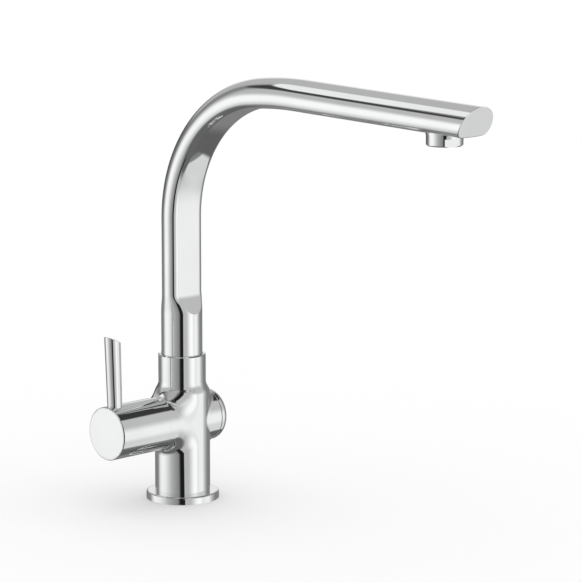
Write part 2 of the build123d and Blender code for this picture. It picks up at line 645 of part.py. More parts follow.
# ---- Spout ---------------------------------------------------------------
def flattened_outline(inset=0.0):
    """Spout section: crowned back, round sides and a flat on the bend's inside."""
    half_w = SPOUT_HALF_W - inset
    flat = SPOUT_FLAT - inset
    corner = SPOUT_CORNER - inset
    side = corner - flat
    crown = SPOUT_CROWN - inset - side
    flat_u = half_w - corner
    reach = corner * math.sqrt(0.5)
    with BuildSketch() as section:
        with BuildLine():
            EllipticalCenterArc((0, side), half_w, crown, 0, arc_size=90)
            EllipticalCenterArc((0, side), half_w, crown, 90, arc_size=90)
            ThreePointArc((-half_w, side), (-flat_u - reach, side - reach), (-flat_u, -flat))
            Line((-flat_u, -flat), (flat_u, -flat))
            ThreePointArc((flat_u, -flat), (flat_u + reach, side - reach), (half_w, side))
        make_face()
    return section.sketch


def round_outline(inset=0.0):
    """The round tube, in arcs that answer to those of the flattened section."""
    stops = (0, 90, 180, 240, 300, 360)
    with BuildSketch() as section:
        with BuildLine():
            for low, high in zip(stops, stops[1:]):
                CenterArc((0, 0), TUBE_D / 2 - inset, low, high - low)
        make_face()
    return section.sketch


def turned_point(point, axis, degrees):
    """A point turned about an axis parallel to X."""
    angle = math.radians(degrees)
    arm = point - axis.position
    y = arm.Y * math.cos(angle) - arm.Z * math.sin(angle)
    z = arm.Y * math.sin(angle) + arm.Z * math.cos(angle)
    return axis.position + Vector(0, y, z)


def bend_steps():
    """Axis and turn of each part of the bend, then the arm's start and its heading."""
    point = Vector(0, 0, BEND_START_Z)
    heading = 0.0
    steps = []
    for radius, turn in BENDS:
        inwards = Vector(0, -math.cos(math.radians(heading)), -math.sin(math.radians(heading)))
        axis = Axis(point + inwards * radius, (1, 0, 0))
        steps.append((axis, turn))
        point = turned_point(point, axis, turn)
        heading += turn
    return steps, point, math.radians(heading)


BEND_STEPS, ARM_START, ARM_HEADING = bend_steps()
ARM_DIR = Vector(0, -math.sin(ARM_HEADING), math.cos(ARM_HEADING))
ARM_UP = Vector(0, math.cos(ARM_HEADING), math.sin(ARM_HEADING))


def arm_point(y):
    """Point of the arm's centre line at a distance from the column."""
    return ARM_START + ARM_DIR * ((y - ARM_START.Y) / ARM_DIR.Y)


def end_plane(back):
    """The slanted end of the spout, or a plane this far behind it."""
    slant = math.radians(END_CUT_DEG)
    normal = ARM_DIR * math.cos(slant) - ARM_UP * math.sin(slant)
    return Plane(origin=arm_point(-SPOUT_REACH) - normal * back, z_dir=normal, x_dir=(1, 0, 0))


def follow_spout(outline, low_z, arm_length):
    """Carries an outline up the riser, round the bend and along the arm."""
    solid = extrude(Pos(0, 0, low_z) * outline, BEND_START_Z - low_z)
    face = Pos(0, 0, BEND_START_Z) * outline
    for axis, turn in BEND_STEPS:
        solid += revolve(face, axis, revolution_arc=turn)
        face = face.rotate(axis, turn)
    return solid + extrude(face, arm_length, dir=ARM_DIR)


def spout_blank(inset=0.0):
    """The whole spout as one solid, or its inside when inset by the wall."""
    past_end = (SPOUT_REACH + ARM_START.Y) + SPOUT_HALF_W
    low_z = TUBE_LOW_Z - (1 if inset else 0)
    blank = extrude(Pos(0, 0, low_z) * round_outline(inset), PRESS_LOW_Z - low_z)
    pressed = [Pos(0, 0, PRESS_LOW_Z) * round_outline(inset),
               Pos(0, 0, PRESS_HIGH_Z) * flattened_outline(inset)]
    blank += loft(pressed)
    return blank + follow_spout(flattened_outline(inset), PRESS_HIGH_Z, past_end)


def cut_at_end(solid, back):
    return split(solid, bisect_by=end_plane(back), keep=Keep.BOTTOM)


def spout_end_plate():
    beyond = split(spout_blank(), bisect_by=end_plane(END_PLATE_T), keep=Keep.TOP)
    return cut_at_end(beyond, 0)


def spout_tube():
    tube = cut_at_end(spout_blank() - spout_blank(TUBE_WALL), END_PLATE_T)
    hole_top = arm_point(AERATOR_Y).Z
    return tube - rod_z(AERATOR_LOW_Z, hole_top, SOCKET_NECK_D, y=AERATOR_Y)


def spout_spigot():
    """Turned bush in the tube's lower end, which turns in the body's collar."""
    spigot = rod_z(SPIGOT_LOW_Z, TUBE_LOW_Z, SPIGOT_D)
    spigot += rod_z(TUBE_LOW_Z, SPIGOT_HIGH_Z, TUBE_BORE)
    spigot -= rod_z(SPIGOT_LOW_Z, SPIGOT_HIGH_Z, SPIGOT_BORE)
    for z in O_RING_ZS:
        half = O_RING_GROOVE_W / 2
        spigot -= rod_z(z - half, z + half, SPIGOT_D, SPIGOT_D - 2 * O_RING_T)
    groove_r = SPIGOT_D / 2 - LOCK_GROOVE_DEPTH
    tip_angle = math.degrees(math.asin(LOCK_TIP_D / 2 / groove_r))
    half_angle = SWIVEL_DEG + tip_angle + 2
    with BuildSketch(Plane.YZ) as strip:
        with Locations(((groove_r + SPIGOT_D / 2 + 1) / 2, LOCK_Z)):
            Rectangle(LOCK_GROOVE_DEPTH + 1, LOCK_TIP_D + 2 * FREE_GAP)
    groove = revolve(strip.sketch.rotate(Axis.Z, -half_angle), Axis.Z, revolution_arc=2 * half_angle)
    return spigot - groove


def spout_o_rings():
    ring = o_ring(SPIGOT_D + TURN_FIT, O_RING_T)
    return Compound([Pos(0, 0, z) * ring for z in O_RING_ZS])


def spout_slide_ring():
    return rod_z(RECESS_Z, TUBE_LOW_Z, TUBE_D + FREE_GAP, SPIGOT_D + 2 * FREE_GAP)


def swivel_lock_screw():
    """Grub screw in the back of the collar; its tip runs in the spigot's groove."""
    tip_y = SPIGOT_D / 2 - LOCK_GROOVE_DEPTH + FREE_GAP
    thread_y = SOCKET_D / 2 + 0.2
    head_y = COLLAR_D / 2 - 0.4
    screw = rod_y(thread_y, head_y, LOCK_SCREW_D, 0, LOCK_Z)
    screw += rod_y(tip_y, thread_y, LOCK_TIP_D, 0, LOCK_Z)
    key_l = (head_y - thread_y) / 2
    key = extrude(RegularPolygon(LOCK_KEY / 2, 6, major_radius=False), key_l)
    return screw - Pos(0, head_y, LOCK_Z) * Rot(90, 0, 0) * key


# ---- Filtered water line -------------------------------------------------
def filter_line():
    outline = Circle(LINE_D / 2) - Circle(LINE_BORE / 2)
    arm_length = (arm_point(LINE_END_Y) - ARM_START).length
    return follow_spout(outline, LINE_LOW_Z, arm_length)


def line_connector():
    """Nose that turns in the body's centre socket and feeds the filter line."""
    nose_z = LINE_SOCKET_Z + FREE_GAP
    connector = rod_z(nose_z, LINE_COLLAR_Z, LINE_NOSE_D)
    connector += rod_z(LINE_COLLAR_Z, LINE_LOW_Z, LINE_COLLAR_D)
    connector += rod_z(LINE_LOW_Z, LINE_LOW_Z + LINE_BARB_L, LINE_BORE - 2 * SEAT_FIT)
    ring_z = (nose_z + SOCKET_FLOOR_Z) / 2
    groove_half = LINE_RING_T / 2 + 0.2
    connector -= rod_z(ring_z - groove_half, ring_z + groove_half, LINE_NOSE_D,
                       LINE_NOSE_D - 2 * LINE_RING_T)
    return connector - rod_z(nose_z, LINE_LOW_Z + LINE_BARB_L, LINE_BORE - 2)


def line_o_ring():
    ring_z = (LINE_SOCKET_Z + FREE_GAP + SOCKET_FLOOR_Z) / 2
    return Pos(0, 0, ring_z) * o_ring(LINE_NOSE_D + TURN_FIT, LINE_RING_T)


def filter_nozzle():
    """Elbow at the end of the line and the pipe down through the aerator's centre."""
    top = arm_point(AERATOR_Y)
    start = arm_point(LINE_END_Y)
    elbow_plane = Plane(origin=start - ARM_DIR * LINE_D, z_dir=ARM_DIR)
    elbow_l = (top - start).length + LINE_D + ELBOW_D / 2
    nozzle = extrude(elbow_plane * Circle(ELBOW_D / 2), elbow_l)
    low_z = AERATOR_LOW_Z + INSERT_RECESS
    nozzle += rod_z(low_z, top.Z, NOZZLE_D, y=AERATOR_Y)
    nozzle -= extrude(elbow_plane * Circle(LINE_D / 2), LINE_D)
    nozzle -= extrude(Plane(origin=start, z_dir=ARM_DIR) * Circle(NOZZLE_BORE / 2), (top - start).length)
    return nozzle - rod_z(low_z, top.Z, NOZZLE_BORE, y=AERATOR_Y)


# ---- Aerator -------------------------------------------------------------
def aerator_neck_top():
    """The aerator's neck and its socket end just below the nozzle's elbow."""
    return arm_point(AERATOR_Y).Z - ELBOW_D / 2 - ELBOW_GAP


def aerator_socket():
    """Threaded ring brazed into the arm's underside."""
    neck_top = aerator_neck_top()
    flange_top = arm_point(AERATOR_Y).Z - SPOUT_FLAT + 1
    socket = rod_z(AERATOR_TOP_Z, flange_top, SOCKET_FLANGE_D, y=AERATOR_Y) - spout_blank()
    socket += rod_z(AERATOR_TOP_Z, neck_top, SOCKET_NECK_D, y=AERATOR_Y)
    return socket - rod_z(AERATOR_TOP_Z, neck_top, AERATOR_NECK_D + 2 * SEAT_FIT, y=AERATOR_Y)


def aerator_housing():
    shell = rod_z(AERATOR_LOW_Z, AERATOR_TOP_Z, AERATOR_D)
    shell = chamfer(shell.edges().sort_by(Axis.Z)[0], AERATOR_EDGE)
    spare = AERATOR_D
    for side in (-1, 1):
        low, high = sorted((side * AERATOR_FLATS / 2, side * spare))
        shell -= block((-spare, spare), (low, high), (AERATOR_LOW_Z, AERATOR_LOW_Z + AERATOR_FLAT_H))
    shell = Rot(0, 0, AERATOR_FLAT_TURN) * shell
    neck_top = aerator_neck_top()
    shell += rod_z(AERATOR_TOP_Z, neck_top, AERATOR_NECK_D)
    shell -= rod_z(AERATOR_LOW_Z, AERATOR_LOW_Z + INSERT_RECESS + INSERT_T, INSERT_D + 2 * SEAT_FIT)
    shell -= rod_z(AERATOR_LOW_Z, neck_top, AERATOR_WAY_D)
    gasket_low_z = AERATOR_TOP_Z - AERATOR_GASKET_T
    shell -= rod_z(gasket_low_z, AERATOR_TOP_Z, AERATOR_GASKET_D, AERATOR_NECK_D)
    return Pos(0, AERATOR_Y, 0) * shell


def aerator_gasket():
    return rod_z(AERATOR_TOP_Z - AERATOR_GASKET_T, AERATOR_TOP_Z, AERATOR_GASKET_D - 2 * SEAT_FIT,
                 AERATOR_NECK_D + 2 * SEAT_FIT, y=AERATOR_Y)


def aerator_insert():
    """Straightener with a ring of holes for mixed water round the filter nozzle."""
    low_z = AERATOR_LOW_Z + INSERT_RECESS
    insert = rod_z(low_z, low_z + INSERT_T, INSERT_D, NOZZLE_D + 2 * SEAT_FIT)
    for radius, count in INSERT_RINGS:
        for place in PolarLocations(radius, count):
            insert -= Pos(0, 0, low_z + INSERT_T / 2) * place * Cylinder(INSERT_HOLE_D / 2, INSERT_T)
    return Pos(0, AERATOR_Y, 0) * insert


# ---- Write every piece ---------------------------------------------------
PIECES = (
    tap_body, base_ring, base_gasket,
    cartridge_seal, cartridge_base, fixed_ceramic_disc, cartridge_housing, cartridge_nut, dome_cover,
    cartridge_rotor, pivot_pin, moving_ceramic_disc, disc_carrier,
    cartridge_stem, handle_hub, pin_lever, hub_end_cap, handle_grub_screw, hub_plug,
    filter_seal, filter_valve_body, filter_fixed_disc, filter_moving_disc, filter_spindle,
    filter_spindle_o_ring, filter_knob, knob_screw, knob_cap,
    spout_tube, spout_end_plate, spout_spigot, spout_o_rings, spout_slide_ring, swivel_lock_screw,
    filter_line, line_connector, line_o_ring, filter_nozzle,
    aerator_socket, aerator_housing, aerator_gasket, aerator_insert,
)

os.makedirs("parts", exist_ok=True)
for piece in PIECES:
    export_step(piece(), f"parts/{piece.__name__}.step")
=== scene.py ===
import json
import math

import bpy
from mathutils import Matrix, Vector


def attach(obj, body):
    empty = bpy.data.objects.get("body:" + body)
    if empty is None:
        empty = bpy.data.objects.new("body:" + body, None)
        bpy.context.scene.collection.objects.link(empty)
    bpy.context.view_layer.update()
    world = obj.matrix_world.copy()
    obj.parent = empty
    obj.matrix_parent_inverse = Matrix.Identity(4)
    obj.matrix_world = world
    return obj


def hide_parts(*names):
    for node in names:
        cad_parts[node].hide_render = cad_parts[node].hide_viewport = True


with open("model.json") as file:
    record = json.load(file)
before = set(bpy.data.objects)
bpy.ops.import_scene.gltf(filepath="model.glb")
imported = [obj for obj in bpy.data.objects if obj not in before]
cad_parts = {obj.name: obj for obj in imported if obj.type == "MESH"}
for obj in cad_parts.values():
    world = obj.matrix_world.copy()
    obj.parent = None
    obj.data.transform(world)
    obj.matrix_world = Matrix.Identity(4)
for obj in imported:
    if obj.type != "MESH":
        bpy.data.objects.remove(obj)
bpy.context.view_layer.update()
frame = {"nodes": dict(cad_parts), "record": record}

MM = 0.001
scene = bpy.context.scene
scene.view_settings.view_transform = "Standard"

# ---- Camera: the photograph's viewing angle --------------------------------
AZ = math.radians(45.4)
EL = math.radians(10.2)
ROLL = math.radians(0.06)
DIST = 2.076
FRAME_PX = 582.0        # side of the picture
FOCAL_PX = 3000.0       # the lens, measured in the picture's pixels
SENSOR = 36.0
RIGHT = Vector((math.sin(AZ), -math.cos(AZ), 0))
AHEAD = Vector((math.cos(AZ), math.sin(AZ), 0))
FORWARD = AHEAD * math.cos(EL) - Vector((0, 0, 1)) * math.sin(EL)
UP = AHEAD * math.sin(EL) + Vector((0, 0, 1)) * math.cos(EL)
LOOK_RIGHT = 0.0749     # the object's origin lies this far left of the picture's centre
LOOK_UP = 0.1421        # and this far below it


def make_camera():
    data = bpy.data.cameras.new("camera")
    data.sensor_width = SENSOR
    data.sensor_fit = "HORIZONTAL"
    data.lens = FOCAL_PX * SENSOR / FRAME_PX
    data.clip_end = 20.0
    cam = bpy.data.objects.new("camera", data)
    right = RIGHT * math.cos(ROLL) + UP * math.sin(ROLL)
    up = UP * math.cos(ROLL) - RIGHT * math.sin(ROLL)
    place = right * LOOK_RIGHT + up * LOOK_UP - FORWARD * DIST
    turn = Matrix((right, up, -FORWARD)).transposed()
    cam.matrix_world = Matrix.Translation(place) @ turn.to_4x4()
    scene.collection.objects.link(cam)
    scene.camera = cam


make_camera()


# ---- Materials --------------------------------------------------------------
def new_material(name):
    mat = bpy.data.materials.new(name)
    mat.use_nodes = True
    nodes = mat.node_tree.nodes
    nodes.clear()
    out = nodes.new("ShaderNodeOutputMaterial")
    bsdf = nodes.new("ShaderNodeBsdfPrincipled")
    mat.node_tree.links.new(bsdf.outputs[0], out.inputs[0])
    return mat, mat.node_tree, bsdf


def noise(tree, scale, detail=2.0):
    coord = tree.nodes.new("ShaderNodeTexCoord")
    tex = tree.nodes.new("ShaderNodeTexNoise")
    tex.inputs["Scale"].default_value = scale
    tex.inputs["Detail"].default_value = detail
    tree.links.new(coord.outputs["Object"], tex.inputs["Vector"])
    return tex


def ramp(tree, source, low, high):
    node = tree.nodes.new("ShaderNodeValToRGB")
    for stop, at, colour in zip(node.color_ramp.elements, (0.35, 0.65), (low, high)):
        stop.position = at
        stop.color = colour + (1,)
    tree.links.new(source, node.inputs[0])
    return node


def tint(tree, bsdf, source, low, high):
    """Base colour that wanders between two near shades."""
    tree.links.new(ramp(tree, source, low, high).outputs[0], bsdf.inputs["Base Color"])


def gloss(tree, bsdf, source, low, high):
    """Roughness that wanders between two values."""
    node = tree.nodes.new("ShaderNodeMapRange")
    node.inputs["To Min"].default_value = low
    node.inputs["To Max"].default_value = high
    tree.links.new(source, node.inputs["Value"])
    tree.links.new(node.outputs[0], bsdf.inputs["Roughness"])


def relief(tree, bsdf, source, strength, depth):
    """Fine relief; depth in metres."""
    node = tree.nodes.new("ShaderNodeBump")
    node.inputs["Strength"].default_value = strength
    node.inputs["Distance"].default_value = depth
    tree.links.new(source, node.inputs["Height"])
    tree.links.new(node.outputs[0], bsdf.inputs["Normal"])


def plated(name, low, high, rough_low, rough_high, scale, bump, bump_scale):
    """Polished plating, with the faint waves and changes of gloss that polishing leaves."""
    mat, tree, bsdf = new_material(name)
    bsdf.inputs["Metallic"].default_value = 1.0
    tex = noise(tree, scale, 4.0)
    tint(tree, bsdf, tex.outputs[0], low, high)
    gloss(tree, bsdf, tex.outputs[0], rough_low, rough_high)
    relief(tree, bsdf, noise(tree, bump_scale).outputs[0], bump, 0.0002)
    return mat


def plastic(name, low, high, rough, scale, bump, rough_span=0.1, coat=0.0, through=0.0):
    """Moulded plastic, rubber or ceramic: slight mottling, and a fine texture in relief."""
    mat, tree, bsdf = new_material(name)
    tex = noise(tree, scale, 3.0)
    tint(tree, bsdf, tex.outputs[0], low, high)
    gloss(tree, bsdf, tex.outputs[0], rough - rough_span / 2, rough + rough_span / 2)
    bsdf.inputs["Coat Weight"].default_value = coat
    bsdf.inputs["Transmission Weight"].default_value = through
    relief(tree, bsdf, noise(tree, 2600.0).outputs[0], bump, 0.00008)
    return mat


def turned(name, low, high, rough, rings):
    """Machined brass or steel, with the fine rings that a lathe leaves."""
    mat, tree, bsdf = new_material(name)
    bsdf.inputs["Metallic"].default_value = 1.0
    coord = tree.nodes.new("ShaderNodeTexCoord")
    wave = tree.nodes.new("ShaderNodeTexWave")
    wave.wave_type = "RINGS"
    wave.inputs["Scale"].default_value = rings
    wave.inputs["Distortion"].default_value = 1.5
    tree.links.new(coord.outputs["Object"], wave.inputs["Vector"])
    tint(tree, bsdf, noise(tree, 90.0, 4.0).outputs[0], low, high)
    gloss(tree, bsdf, wave.outputs["Fac"], rough - 0.05, rough + 0.05)
    relief(tree, bsdf, wave.outputs["Fac"], 0.15, 0.00003)
    return mat


MATERIALS = {
    "chrome": plated("chrome", (0.915, 0.92, 0.925), (0.945, 0.95, 0.955), 0.012, 0.03, 45.0, 0.02, 120.0),
    "chrome_plastic": plated("chrome_plastic", (0.86, 0.865, 0.87), (0.91, 0.915, 0.92), 0.05, 0.1,
                             60.0, 0.04, 200.0),
    "brass": turned("brass", (0.72, 0.53, 0.24), (0.83, 0.64, 0.32), 0.28, 900.0),
    "steel": turned("steel", (0.52, 0.52, 0.53), (0.62, 0.62, 0.63), 0.32, 1200.0),
    "rubber": plastic("rubber", (0.018, 0.018, 0.019), (0.032, 0.032, 0.034), 0.7, 400.0, 0.3),
    "moulded_plastic": plastic("moulded_plastic", (0.70, 0.71, 0.69), (0.78, 0.79, 0.77), 0.45, 80.0, 0.15),
    "line_plastic": plastic("line_plastic", (0.80, 0.83, 0.82), (0.88, 0.90, 0.89), 0.35, 50.0, 0.08,
                            through=0.25),
    "insert_plastic": plastic("insert_plastic", (0.74, 0.74, 0.73), (0.82, 0.82, 0.81), 0.4, 90.0, 0.15),
    "plug_plastic": plastic("plug_plastic", (0.55, 0.56, 0.57), (0.63, 0.64, 0.65), 0.3, 120.0, 0.1),
    "ceramic": plastic("ceramic", (0.90, 0.89, 0.85), (0.95, 0.94, 0.91), 0.15, 200.0, 0.03, 0.06, 0.5),
}

for subpart in frame["record"]["subparts"]:
    node = frame["nodes"][subpart["node"]]
    node.data.materials.clear()
    node.data.materials.append(MATERIALS[subpart["material_slot"]])


# ---- Spout: the pressed tube, finer than the solid it stands for -------------
# Millimetres, and the part's own values, apart from the pressing's height, the sides and the
# corners, which follow the photograph more closely.
TUBE_R = 14.1
TUBE_WALL = 1.5
TUBE_LOW_Z = 98.8
PRESS_LOW_Z = 130.0
PRESS_HIGH_Z = 144.0
PRESS_RAMP = 0.6
PRESS_CORNER = 1.2
SPOUT_HALF_W = 14.8
SPOUT_CROWN = 12.2
SPOUT_FLAT = 7.4
SPOUT_SIDE_Y = -0.9
SPOUT_SIDE_R = 8.0
SPOUT_CORNER = 5.6
FLAT_CROWN_DEG = 3.0     # the pressed flat still bulges faintly: its edges lean this much
BEND_START_Z = 195.0
BENDS = ((90.0, 83.0), (260.0, 8.7))
SPOUT_REACH = 267.7
END_CUT_DEG = 23.5
END_PLATE_T = 1.5
PLATE_EDGE = 0.4
AERATOR_FROM_END = 25.8         # along the arm, from the end's middle to the aerator's axis
SOCKET_NECK_R = 10.2            # of the hole for the aerator's socket
SOCKET_TOOL_LONG = 30.0
SOCKET_TOOL_DROP = 15.0         # the tool's middle lies this far below the arm's axis
ARC_STEPS = (28, 28, 12, 10, 14, 10, 12)                # in each arc of the section
ROUND_STOPS = (0, 90, 180, 259, 261, 279, 281, 360)     # degrees, where they part on the round tube
ROUND_RINGS_Z = (TUBE_LOW_Z, 105.0, 115.0, 125.0, 129.0, PRESS_LOW_Z)
PRESS_RINGS = 64
STRAIGHT_STEP = 6.0
BEND_RINGS_PER_DEG = 2
ARM_RINGS = 10


def arc(cu, cv, ru, rv, start, turn, steps):
    out = []
    for i in range(steps):
        a = math.radians(start + turn * i / steps)
        out.append((cu + ru * math.cos(a), cv + rv * math.sin(a)))
    return out


def spout_section(press, inset):
    """Outline across the spout: round at press 0, flattened inside the bend at press 1."""
    if press <= 0:
        r = TUBE_R - inset
        points = []
        for low, high, steps in zip(ROUND_STOPS, ROUND_STOPS[1:], ARC_STEPS):
            points += arc(0, 0, r, r, low, high - low, steps)
        return points
    late = max(press - PRESS_RAMP, 0) / (1 - PRESS_RAMP)
    rise = min(press, PRESS_RAMP) + (1 - PRESS_RAMP) * late * (1 - late / 2)
    depth = TUBE_R - (TUBE_R - SPOUT_FLAT) * rise / ((1 + PRESS_RAMP) / 2) - inset
    ease = press * press * (3 - 2 * press)

    def blend(start, end):
        return start + (end - start) * ease

    half_w = blend(TUBE_R, SPOUT_HALF_W) - inset
    side = blend(0, SPOUT_SIDE_Y)
    crown = blend(TUBE_R, SPOUT_CROWN) - side - inset
    side_r = blend(TUBE_R, SPOUT_SIDE_R) - inset
    corner = max(blend(PRESS_CORNER, SPOUT_CORNER) - inset, PRESS_CORNER / 3)
    turn = math.asin((side + depth - corner) / (side_r - corner))
    centre_u = half_w - side_r
    corner_u = centre_u + (side_r - corner) * math.cos(turn)
    corner_v = side - (side_r - corner) * math.sin(turn)
    turn = math.degrees(turn)
    n = ARC_STEPS
    points = arc(0, side, half_w, crown, 0, 90, n[0])
    points += arc(0, side, half_w, crown, 90, 90, n[1])
    points += arc(-centre_u, side, side_r, side_r, 180, turn, n[2])
    points += arc(-corner_u, corner_v, corner, corner, 180 + turn, 90 - turn, n[3])
    bulge = math.radians(FLAT_CROWN_DEG * ease)
    flat_r = corner_u / math.sin(bulge)
    for i in range(n[4]):
        a = bulge * (2 * i / n[4] - 1)
        points.append((flat_r * math.sin(a), flat_r * (math.cos(bulge) - math.cos(a)) - depth))
    points += arc(corner_u, corner_v, corner, corner, 270, 90 - turn, n[5])
    points += arc(centre_u, side, side_r, side_r, 360 - turn, turn, n[6])
    return points


def spout_stations():
    """Centre, heading and press of every ring, from the collar to the arm's start."""
    stations = [(0.0, z, 0.0, 0.0) for z in ROUND_RINGS_Z]
    for i in range(1, PRESS_RINGS + 1):
        press = i / PRESS_RINGS
        stations.append((0.0, PRESS_LOW_Z + press * (PRESS_HIGH_Z - PRESS_LOW_Z), 0.0, press))
    z = PRESS_HIGH_Z
    while z + STRAIGHT_STEP < BEND_START_Z:
        z += STRAIGHT_STEP
        stations.append((0.0, z, 0.0, 1.0))
    stations.append((0.0, BEND_START_Z, 0.0, 1.0))
    y, z, heading = 0.0, BEND_START_Z, 0.0
    for radius, turn in BENDS:
        centre_y = y - radius * math.cos(math.radians(heading))
        centre_z = z - radius * math.sin(math.radians(heading))
        count = round(turn * BEND_RINGS_PER_DEG)
        for i in range(1, count + 1):
            a = math.radians(heading + turn * i / count)
            stations.append((centre_y + radius * math.cos(a), centre_z + radius * math.sin(a), a, 1.0))
        heading += turn
        y, z = stations[-1][0], stations[-1][1]
    return stations


def placed(y, z, a, u, v, along=0.0):
    """A section point in metres, on a ring with heading a."""
    return (u * MM, (y + v * math.cos(a) - along * math.sin(a)) * MM,
            (z + v * math.sin(a) + along * math.cos(a)) * MM)


def arm_ring(inset, back, share=1.0):
    """Slanted ring on the arm, this far back from its end, at a share of the way to there."""
    y, z, a, _ = spout_stations()[-1]
    slant = math.radians(END_CUT_DEG)
    length = (SPOUT_REACH + y) / math.sin(a)
    return [placed(y, z, a, u, v, (length + (v * math.sin(slant) - back) / math.cos(slant)) * share)
            for u, v in spout_section(1.0, inset)]


def spout_rings(inset):
    rings = [[placed(y, z, a, u, v) for u, v in spout_section(press, inset)]
             for y, z, a, press in spout_stations()]
    return rings + [arm_ring(inset, END_PLATE_T, i / ARM_RINGS) for i in range(1, ARM_RINGS + 1)]


def bridge(rings, closed_along=False):
    """Faces between closed rings of the same number of points."""
    n = len(rings[0])
    faces = []
    for i in range(len(rings) if closed_along else len(rings) - 1):
        low, high = i * n, (i + 1) % len(rings) * n
        for j in range(n):
            k = (j + 1) % n
            faces.append((low + j, low + k, high + k, high + j))
    return faces


def ring_mesh(name, rings, caps=(), closed_along=True):
    """Chrome object from rings of points; caps are extra faces."""
    mesh = bpy.data.meshes.new(name)
    mesh.from_pydata([point for ring in rings for point in ring], [],
                     bridge(rings, closed_along) + list(caps))
    mesh.validate()
    mesh.update()
    mesh.materials.append(MATERIALS["chrome"])
    mesh.shade_smooth()
    obj = bpy.data.objects.new(name, mesh)
    scene.collection.objects.link(obj)
    return obj


def declare(piece, body, sharp_deg, stands_for=None):
    """Marks the piece's sharp edges, hangs it on the empty of the body it rides on, and hides the CAD node it
    stands for.
    """
    piece.data.set_sharp_from_angle(angle=math.radians(sharp_deg))
    if stands_for:
        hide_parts(stands_for)
    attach(piece, body)


def cut_away(obj, tool):
    """Takes the tool's volume out of the object, and removes the tool."""
    cutter = obj.modifiers.new("cut", "BOOLEAN")
    cutter.operation = "DIFFERENCE"
    cutter.solver = "EXACT"
    cutter.object = tool
    shape = obj.evaluated_get(bpy.context.evaluated_depsgraph_get())
    mesh = bpy.data.meshes.new_from_object(shape)
    obj.modifiers.clear()
    obj.data = mesh
    bpy.data.objects.remove(tool)


def make_spout():
    spout = ring_mesh("spout_shell", spout_rings(0.0) + spout_rings(TUBE_WALL)[::-1])
    y, z, a, _ = spout_stations()[-1]
    way = (SPOUT_REACH + y - AERATOR_FROM_END) / math.sin(a)
    bpy.ops.mesh.primitive_cylinder_add(vertices=128, radius=SOCKET_NECK_R * MM, depth=SOCKET_TOOL_LONG * MM,
                                        location=placed(y, z, a, 0, -SOCKET_TOOL_DROP, way))
    cut_away(spout, bpy.context.object)
    declare(spout, "spout", 30, "spout_tube")


def make_end_plate():
    """The plate that closes the arm, with a fine bevel round its face."""
    bevel = ((0.0, END_PLATE_T), (0.0, PLATE_EDGE), (0.3 * PLATE_EDGE, 0.3 * PLATE_EDGE), (PLATE_EDGE, 0.0))
    rings = [arm_ring(inset, back) for inset, back in bevel]
    n = len(rings[0])
    caps = (tuple(range(n))[::-1], tuple(range(3 * n, 4 * n)))
    plate = ring_mesh("end_plate", rings, caps, closed_along=False)
    declare(plate, "spout", 15, "spout_end_plate")


make_spout()
make_end_plate()


# ---- Filter knob: turned about the barrel's axis, with a rounder rim ---------
BARREL_Z = 55.3
BARREL_R = 18.0
KNOB_X = 20.8
KNOB_END_X = 27.6
KNOB_EDGE = 5.0          # rounding of the outer rim
KNOB_RIM = 0.3           # chamfer next to the column
# (x, radius) along the knob's middle: the cap's recess, the screw's, its hole, the spindle's, the hub
KNOB_BORES = ((27.6, 3.27), (26.0, 3.27), (26.0, 2.77), (24.4, 2.77), (24.4, 1.52), (23.2, 1.52), (23.2, 4.0),
              (18.9, 4.0), (18.9, 6.5), (20.8, 6.5))
KNOB_STEPS = 192


def make_knob():
    outline = [(KNOB_X, BARREL_R - KNOB_RIM), (KNOB_X + KNOB_RIM, BARREL_R)]
    outline += arc(KNOB_END_X - KNOB_EDGE, BARREL_R - KNOB_EDGE, KNOB_EDGE, KNOB_EDGE, 90, -90, 24)
    outline += [(KNOB_END_X, BARREL_R - KNOB_EDGE), *KNOB_BORES]
    rings = []
    for i in range(KNOB_STEPS):
        a = 2 * math.pi * i / KNOB_STEPS
        rings.append([(x * MM, r * math.sin(a) * MM, (BARREL_Z + r * math.cos(a)) * MM) for x, r in outline])
    declare(ring_mesh("knob_shell", rings), "filter_control", 30, "filter_knob")


make_knob()


# ---- Casting: the barrel flows into the column in a broad blend ---------------
COLUMN_R = 19.0
COLLAR_R = 16.3
FLARE_LOW_Z = 73.5
FLARE_HIGH_Z = 82.5
BLEND_TOP = 5.4          # width of the blend above and below the barrel, clear of the tilted hub
BLEND_SIDE = 12.0        # and at its sides
BLEND_LEAN = 0.58        # reach of the blend's handles, as a share of its width
BLEND_SINK = 0.8         # the piece's back lies this deep in the casting
BLEND_STEPS = 20
BLEND_RINGS = 180


def column_radius(z):
    """The flare's two arcs, between the column and the collar."""
    if z <= FLARE_LOW_Z:
        return COLUMN_R
    if z >= FLARE_HIGH_Z:
        return COLLAR_R
    half_drop = (COLUMN_R - COLLAR_R) / 2
    half_rise = (FLARE_HIGH_Z - FLARE_LOW_Z) / 2
    arc_r = (half_drop ** 2 + half_rise ** 2) / (2 * half_drop)
    if z < FLARE_LOW_Z + half_rise:
        return COLUMN_R - arc_r + math.sqrt(arc_r ** 2 - (z - FLARE_LOW_Z) ** 2)
    return COLLAR_R + arc_r - math.sqrt(arc_r ** 2 - (FLARE_HIGH_Z - z) ** 2)


def on_column(turn, z, sink=0.0):
    r = column_radius(z) - sink
    return Vector((-r * math.cos(turn), r * math.sin(turn), z))


